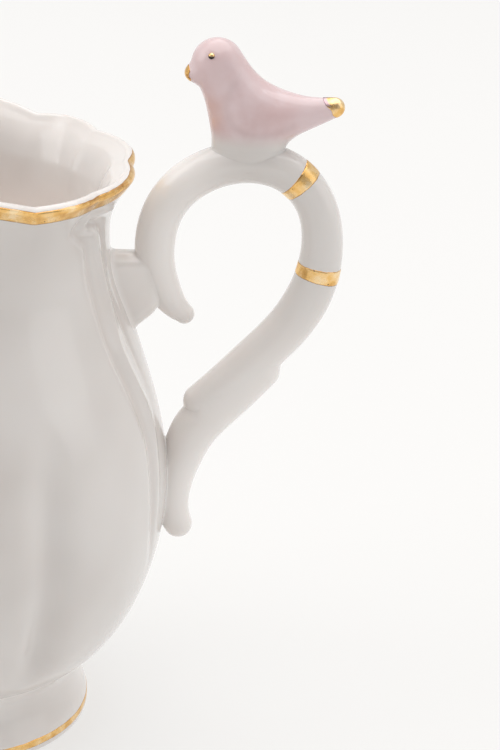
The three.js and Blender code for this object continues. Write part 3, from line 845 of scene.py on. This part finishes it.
def wing_distance(points):
    """Signed distance, seen from the side, from the wing's front edge: positive on the wing."""
    distance, _, side = near_path(points[:, 0], points[:, 2], wing_edge)
    return distance * side


def ball_field(points, centre, size):
    """How far points lie outside a stretched ball, over its size: 0 on its surface."""
    return np.sqrt((((points - centre) / size) ** 2).sum(axis=1)) - 1


def bird_field(points):
    spine = tube_field(points, bird_spine, BIRD_FLATTEN)
    face = ball_field(points, FACE_PLACE, FACE_SIZE) * FACE_SIZE[2]
    body = blend(blend(spine, face, FACE_SOFTNESS), breast_field(points), BREAST_SOFTNESS)
    wing = wing_distance(points)
    middle, half_length = WING_X
    reach = bump(points[:, 0] - middle, half_length) * smooth_step(np.abs(points[:, 1]), *WING_SIDE)
    lift, *fade = WING_LIFT
    lifted = lift * window(wing, *fade)
    depth, half_width = WING_GROOVE
    return body + reach * (depth * bump(wing, half_width) - lifted)


def make_perch(material):
    coarse_scroll = upper_curve[70:170:2]
    drawn, height = SEAM_DRAW

    def field(points):
        z = points[:, 2]
        scroll = tube_field(points, coarse_scroll) + HIDDEN
        bird = bird_field(points) - PERCH_SWELL + drawn * smooth_step(z, PERCH_SEAM - height, PERCH_SEAM)
        joined = np.maximum(blend(bird, scroll, PERCH_SOFTNESS), bird - PERCH_FILLET_REACH)
        return np.maximum(joined, np.maximum(z - PERCH_SEAM, PERCH_BOTTOM - z))

    points, faces = surface_net(field, *PERCH_SPACE)
    make_piece("perch", "bird_perch", "porcelain", points, faces, material)


def make_bird(material):
    def field(points):
        return np.maximum(bird_field(points), PERCH_SEAM - BIRD_SINK - points[:, 2])

    points, faces = surface_net(field, *BIRD_SPACE)
    x, z = points[:, 0], points[:, 2]
    warm = WARMTH * (1 - smooth_step(x, *WARM_FRONT)) * window(z, *WARM_HEIGHTS)
    # painted light on the top of the head and the tail
    light = HEAD_PAINTED_LIGHT * (1 - smooth_step(x, *PAINTED_LIGHT_HEAD)) * smooth_step(z, *PAINTED_LIGHT_ABOVE)
    light = light + TAIL_PAINTED_LIGHT * smooth_step(x, *PAINTED_LIGHT_TAIL)
    # painted shade: the groove mark darkens the enamel along the wing's front edge
    make_piece("pink_bird", "bird", "pink_enamel", points, faces, material,
               fade=smooth_step(z, *PINK_FADE), groove=bump(wing_distance(points), 0.8),
               warm=warm, light=light)


BIRD_FILM = 0.065  # how far the bird's gold films stand proud
BIRD_FILM_ROOT = 0.35  # how far they reach inside
BIRD_FILM_CELL = 0.13
BIRD_FILM_RIM = 0.25  # width of their darker rim
# the violet tinge at the start of the tail's gilding: how far in from its edge, heights, and the
# x beyond which there is any
VIOLET_RIM, VIOLET_HEIGHTS, VIOLET_X = (0.5, 1.1), (118.8, 119.4), 60


def make_bird_gilding(name, node, region, low, high, material):
    """A gold film over the part of the bird where region is negative."""
    def field(points):
        bird = bird_field(points)
        return np.maximum(np.maximum(bird - BIRD_FILM, -BIRD_FILM_ROOT - bird), region(points))

    points, faces = surface_net(field, low, high, BIRD_FILM_CELL)
    depth = -region(points)
    rim = 1 - np.clip(depth / BIRD_FILM_RIM, 0, 1)
    violet = (1 - smooth_step(depth, *VIOLET_RIM)) * smooth_step(points[:, 2], *VIOLET_HEIGHTS)
    make_piece(name, node, "gold", points, faces, material,
               rim=rim, violet=violet * (points[:, 0] > VIOLET_X))


BEAK_PLACE = (40.8, 0, 123.9)
BEAK_SIZE = (1.8, 1.7, 1.5)
TAIL_START = (64.5, 119.9)  # a point of the slanting line where the tail's gilding starts
TAIL_SLANT = 0.8
TAIL_WAVES = ((0.18, 2.3, 1), (0.12, 4.1, 0))  # its unsteadiness across and upwards


def beak_region(points):
    return ball_field(points, BEAK_PLACE, BEAK_SIZE) * BEAK_SIZE[1]


def tail_region(points):
    x, y, z = points.T
    ragged = sum(size * np.sin(rate * along + start)
                 for along, (size, rate, start) in zip((y, z), TAIL_WAVES))
    return TAIL_START[0] + ragged + TAIL_SLANT * (TAIL_START[1] - z) - x


EYE_PLACE = (44.45, 3.3, 127.9)
EYE_RADIUS = 0.58
EYE_SHADE = (-0.02, 0.18)  # painted shade: heights from its middle over which its dark lower half ends


def make_eye(name, node, side, material):
    turn = np.linspace(0, np.pi, 20)[:, None]
    round_angle = np.linspace(0, 2 * np.pi, 32, endpoint=False)[None, :]
    ball = round_axis(np.sin(turn), np.cos(turn), round_angle)
    centre = np.array([EYE_PLACE[0], side * EYE_PLACE[1], EYE_PLACE[2]])
    points, faces = capped_solid(centre + ball * EYE_RADIUS)
    # painted shade over the eye's lower half
    shade = 1 - smooth_step(points[:, 2] - centre[2], *EYE_SHADE)
    make_piece(name, node, "gold", points, faces, material, shade=shade)


# ---- materials ----


def start_material(name):
    material = bpy.data.materials.new(name)
    material.use_nodes = True
    return material, material.node_tree, material.node_tree.nodes["Principled BSDF"]


def add_node(tree, kind, **settings):
    node = tree.nodes.new(kind)
    for key, value in settings.items():
        if key in node.inputs:
            node.inputs[key].default_value = value
        else:
            setattr(node, key, value)
    return node


def noise(tree, scale, detail):
    """A noise value, in cycles to the metre, fixed to the object."""
    place = add_node(tree, "ShaderNodeTexCoord")
    texture = add_node(tree, "ShaderNodeTexNoise", Scale=scale, Detail=detail)
    tree.links.new(place.outputs["Object"], texture.inputs["Vector"])
    return texture.outputs["Fac"]


def ramp(tree, value, stops):
    """A colour ramp through (position, colour) stops."""
    node = add_node(tree, "ShaderNodeValToRGB")
    elements = node.color_ramp.elements
    while len(elements) < len(stops):
        elements.new(1.0)
    for element, (position, colour) in zip(elements, stops):
        element.position = position
        element.color = (*colour, 1)
    tree.links.new(value, node.inputs["Fac"])
    return node.outputs["Color"]


def spread(tree, value, low, high, to_low, to_high):
    """A value between low and high brought to between to_low and to_high, and kept there."""
    node = add_node(tree, "ShaderNodeMapRange")
    for key, number in zip(("From Min", "From Max", "To Min", "To Max"), (low, high, to_low, to_high)):
        node.inputs[key].default_value = number
    tree.links.new(value, node.inputs["Value"])
    return node.outputs["Result"]


def mix(tree, share, first, second, mode="MIX"):
    """Mixes two colours; each is an output or a plain colour, and share an output or a number."""
    node = add_node(tree, "ShaderNodeMix", data_type="RGBA", blend_type=mode)
    for socket, value in ((node.inputs[0], share), (node.inputs[6], first), (node.inputs[7], second)):
        if isinstance(value, bpy.types.NodeSocket):
            tree.links.new(value, socket)
        elif isinstance(value, tuple):
            socket.default_value = (*value, 1)
        else:
            socket.default_value = value
    return node.outputs[2]


def mark(tree, name):
    """The number that each vertex carries under a name, from make_piece()."""
    return add_node(tree, "ShaderNodeAttribute", attribute_name=name).outputs["Fac"]


def add_bump(tree, shader, height, strength, distance):
    node = add_node(tree, "ShaderNodeBump", Strength=strength, Distance=distance)
    tree.links.new(height, node.inputs["Height"])
    tree.links.new(node.outputs["Normal"], shader.inputs["Normal"])


PORCELAIN = (0.735, 0.703, 0.68)
# a darker tone: random clouding in the glaze, and in the grooves pooled glaze with painted shade
PORCELAIN_SHADE = (0.70, 0.65, 0.62)
PORCELAIN_PAINTED_LIGHT = (0.955, 0.92, 0.895)
PAINTED_INSIDE_GLOW = (0.20, 0.165, 0.145)  # painted light: a glow over the lip and the inside, lifting them though they are no lamp
KILN_SPECK = (0.30, 0.24, 0.20)
GLAZE = {
    "IOR": 1.52,
    "Subsurface Weight": 0.12,
    "Subsurface Radius": (0.0016, 0.0012, 0.0010),
    "Subsurface Scale": 1.0,
    "Coat Weight": 0.25,
    "Coat Roughness": 0.04,
}


def glaze(tree, shader, colour):
    """The clear glaze over a fired colour: glossy, faintly rippled, with a few fine specks."""
    ripple = noise(tree, 90, 3.0)
    cloud = noise(tree, 34, 2.0)
    speck = noise(tree, 1700, 1.0)
    clouding = spread(tree, cloud, 0.35, 0.7, 0.0, 0.35)
    clouded = mix(tree, clouding, colour, PORCELAIN_SHADE, "MULTIPLY")
    specked = mix(tree, spread(tree, speck, 0.83, 0.87, 0.0, 0.4), clouded, KILN_SPECK)
    tree.links.new(specked, shader.inputs["Base Color"])
    tree.links.new(spread(tree, cloud, 0.3, 0.7, 0.10, 0.17), shader.inputs["Roughness"])
    add_bump(tree, shader, ripple, 0.12, 0.0004)
    for setting, value in GLAZE.items():
        shader.inputs[setting].default_value = value


def make_porcelain():
    material, tree, shader = start_material("porcelain")
    # darker in the sunk grooves by the beads: partly glaze pooled there, partly painted shade
    pooled = spread(tree, mark(tree, "pool"), -0.5, 0.0, 0.7, 0.0)
    outside = mix(tree, pooled, PORCELAIN, PORCELAIN_SHADE)
    # painted light: paler where the lip and the inside, the handle and the foot are marked
    colour = mix(tree, mark(tree, "pale"), outside, PORCELAIN_PAINTED_LIGHT)
    glaze(tree, shader, colour)
    # painted light: the lip and the inside glow a little
    shader.inputs["Emission Color"].default_value = (*PAINTED_INSIDE_GLOW, 1)
    tree.links.new(mark(tree, "glow"), shader.inputs["Emission Strength"])
    return material


PINK_DEEP = (0.66, 0.475, 0.475)
PINK = (0.705, 0.53, 0.535)
PINK_PALE = (0.765, 0.62, 0.635)
PINK_WARM = (0.68, 0.46, 0.42)
PINK_WING_EDGE_SHADE = (0.56, 0.41, 0.41)


def make_enamel():
    material, tree, shader = start_material("pink enamel")
    cloud = noise(tree, 160, 3.0)
    pink = ramp(tree, cloud, [(0.3, PINK_DEEP), (0.5, PINK), (0.7, PINK_PALE)])
    # painted light: paler on the top of the head and the tail
    pink = mix(tree, spread(tree, mark(tree, "light"), 0, 1, 0, 0.75), pink, PINK_PALE)
    pink = mix(tree, mark(tree, "warm"), pink, PINK_WARM)
    # painted shade along the wing's front edge
    wing_edge_shading = spread(tree, mark(tree, "groove"), 0, 1, 0, 0.3)
    wing_edge_shaded = mix(tree, wing_edge_shading, pink, PINK_WING_EDGE_SHADE)
    colour = mix(tree, mark(tree, "fade"), PORCELAIN, wing_edge_shaded)
    glaze(tree, shader, colour)
    return material


GOLD_DEEP = (0.70, 0.39, 0.12)
GOLD = (0.86, 0.54, 0.20)
GOLD_LIGHT = (0.96, 0.75, 0.46)
GOLD_EDGE = (0.50, 0.24, 0.07)
GOLD_PIT = (0.10, 0.05, 0.03)
VIOLET = (0.42, 0.33, 0.47)
EYE_PAINTED_SHADE = (0.012, 0.008, 0.006)


def make_gold():
    material, tree, shader = start_material("burnished gold")
    patch = noise(tree, 420, 3.0)
    streak = noise(tree, 2600, 2.0)
    speck = noise(tree, 1500, 1.0)
    colour = ramp(tree, patch, [(0.33, GOLD_DEEP), (0.48, GOLD), (0.7, GOLD_LIGHT)])
    edged = mix(tree, spread(tree, mark(tree, "rim"), 0.3, 1.0, 0, 0.75), colour, GOLD_EDGE)
    pitted = mix(tree, spread(tree, speck, 0.74, 0.78, 0, 0.85), edged, GOLD_PIT)
    tinged = mix(tree, spread(tree, mark(tree, "violet"), 0, 1, 0, 0.75), pitted, VIOLET)
    tree.links.new(tinged, shader.inputs["Base Color"])
    tree.links.new(spread(tree, patch, 0.3, 0.7, 0.16, 0.3), shader.inputs["Roughness"])
    shader.inputs["Metallic"].default_value = 1.0
    add_bump(tree, shader, streak, 0.25, 0.00012)
    return material


def make_eye_gold():
    material, tree, shader = start_material("eye gold")
    grain = noise(tree, 3000, 2.0)
    colour = ramp(tree, grain, [(0.3, GOLD), (0.7, GOLD_LIGHT)])
    # painted shade: the lower half dark and less metallic
    shaded = mix(tree, mark(tree, "shade"), colour, EYE_PAINTED_SHADE)
    tree.links.new(shaded, shader.inputs["Base Color"])
    tree.links.new(spread(tree, mark(tree, "shade"), 0, 1, 0.9, 0.2), shader.inputs["Metallic"])
    tree.links.new(spread(tree, grain, 0.3, 0.7, 0.14, 0.24), shader.inputs["Roughness"])
    return material


# ---- stage ----

FLOOR_SIZE = 8  # metres
FLOOR_DROP = 0.0002
FLOOR_PALE = (0.30, 0.298, 0.294)
FLOOR_PALER = (0.305, 0.303, 0.30)
FLOOR_GLOW = (1.0, 0.99, 0.975)
FLOOR_GLOW_STRENGTH = 0.585


def make_floor():
    bpy.ops.mesh.primitive_plane_add(size=FLOOR_SIZE, location=(0, 0, -FLOOR_DROP))
    floor = bpy.context.object
    floor.name = "floor"
    material, tree, shader = start_material("pale floor")
    colour = ramp(tree, noise(tree, 3, 1.0), [(0.3, FLOOR_PALE), (0.7, FLOOR_PALER)])
    tree.links.new(colour, shader.inputs["Base Color"])
    shader.inputs["Emission Color"].default_value = (*FLOOR_GLOW, 1)
    shader.inputs["Emission Strength"].default_value = FLOOR_GLOW_STRENGTH
    shader.inputs["Roughness"].default_value = 0.9
    shader.inputs["Specular IOR Level"].default_value = 0.1
    floor.data.materials.append(material)


def add_softbox(name, place, aim, size, power):
    data = bpy.data.lights.new(name, "AREA")
    data.shape = "RECTANGLE"
    data.size, data.size_y = size
    data.energy = power
    light = bpy.data.objects.new(name, data)
    bpy.context.collection.objects.link(light)
    light.location = place
    light.rotation_euler = (Vector(aim) - Vector(place)).to_track_quat("-Z", "Y").to_euler()


# the white tent round the object, and the dark opening in it that the photographer looks through
TENT = (1.0, 0.99, 0.975)
TENT_FRONT = (0.64, 0.63, 0.62)
TENT_DARK = (0.03, 0.025, 0.02)
TENT_STRENGTH = 0.76
DARK_SIDE = (0.05, -0.90, 0.43)  # the direction of the opening
# how squarely a direction faces the opening, and the tent's colour there
TENT_STOPS = [(0.1, TENT), (0.75, TENT_FRONT), (0.955, TENT_FRONT), (0.975, TENT_DARK)]
# name, place, what it points at, width and height, in metres, and power in watts
SOFTBOXES = [
    ("overhead", (0.1, 0.1, 1.2), (0, 0, 0), (1.6, 1.6), 12.0),
    ("right", (0.9, -0.3, 0.5), (0, 0, 0.06), (0.6, 0.9), 1.0),
    ("left", (-0.9, -0.1, 0.6), (0, 0, 0.08), (0.6, 0.9), 2.2),
]


def make_lighting():
    world = bpy.data.worlds.new("studio")
    bpy.context.scene.world = world
    world.use_nodes = True
    tree = world.node_tree
    background = tree.nodes["Background"]
    direction = add_node(tree, "ShaderNodeTexCoord")
    towards = add_node(tree, "ShaderNodeVectorMath", operation="DOT_PRODUCT")
    towards.inputs[1].default_value = DARK_SIDE
    tree.links.new(direction.outputs["Generated"], towards.inputs[0])
    tree.links.new(ramp(tree, towards.outputs["Value"], TENT_STOPS), background.inputs["Color"])
    background.inputs["Strength"].default_value = TENT_STRENGTH
    for softbox in SOFTBOXES:
        add_softbox(*softbox)
    bpy.context.scene.view_settings.view_transform = "Standard"


def main():
    make_camera()
    porcelain, enamel, gold, eye_gold = make_porcelain(), make_enamel(), make_gold(), make_eye_gold()
    make_pot(porcelain)
    make_foot(porcelain)
    make_lug(porcelain)
    make_upper_scroll(porcelain)
    make_lower_scroll(porcelain)
    make_perch(porcelain)
    make_bird(enamel)
    make_bird_gilding("gold_beak", "beak_gilding", beak_region, (39.5, -1.6, 122.6), (43, 1.6, 126), gold)
    make_bird_gilding("gold_tail", "tail_gilding", tail_region, (62.5, -2.6, 115.3), (69.5, 2.6, 121.7), gold)
    make_eye("left_eye_bead", "left_eye", -1, eye_gold)
    make_eye("right_eye_bead", "right_eye", 1, eye_gold)
    make_lip_gilding(gold)
    make_foot_gilding(gold)
    make_band("gold_upper_band", "upper_handle_band", UPPER_BAND, 51, gold)
    make_band("gold_lower_band", "lower_handle_band", LOWER_BAND, 62, gold)
    make_floor()
    make_lighting()


main()
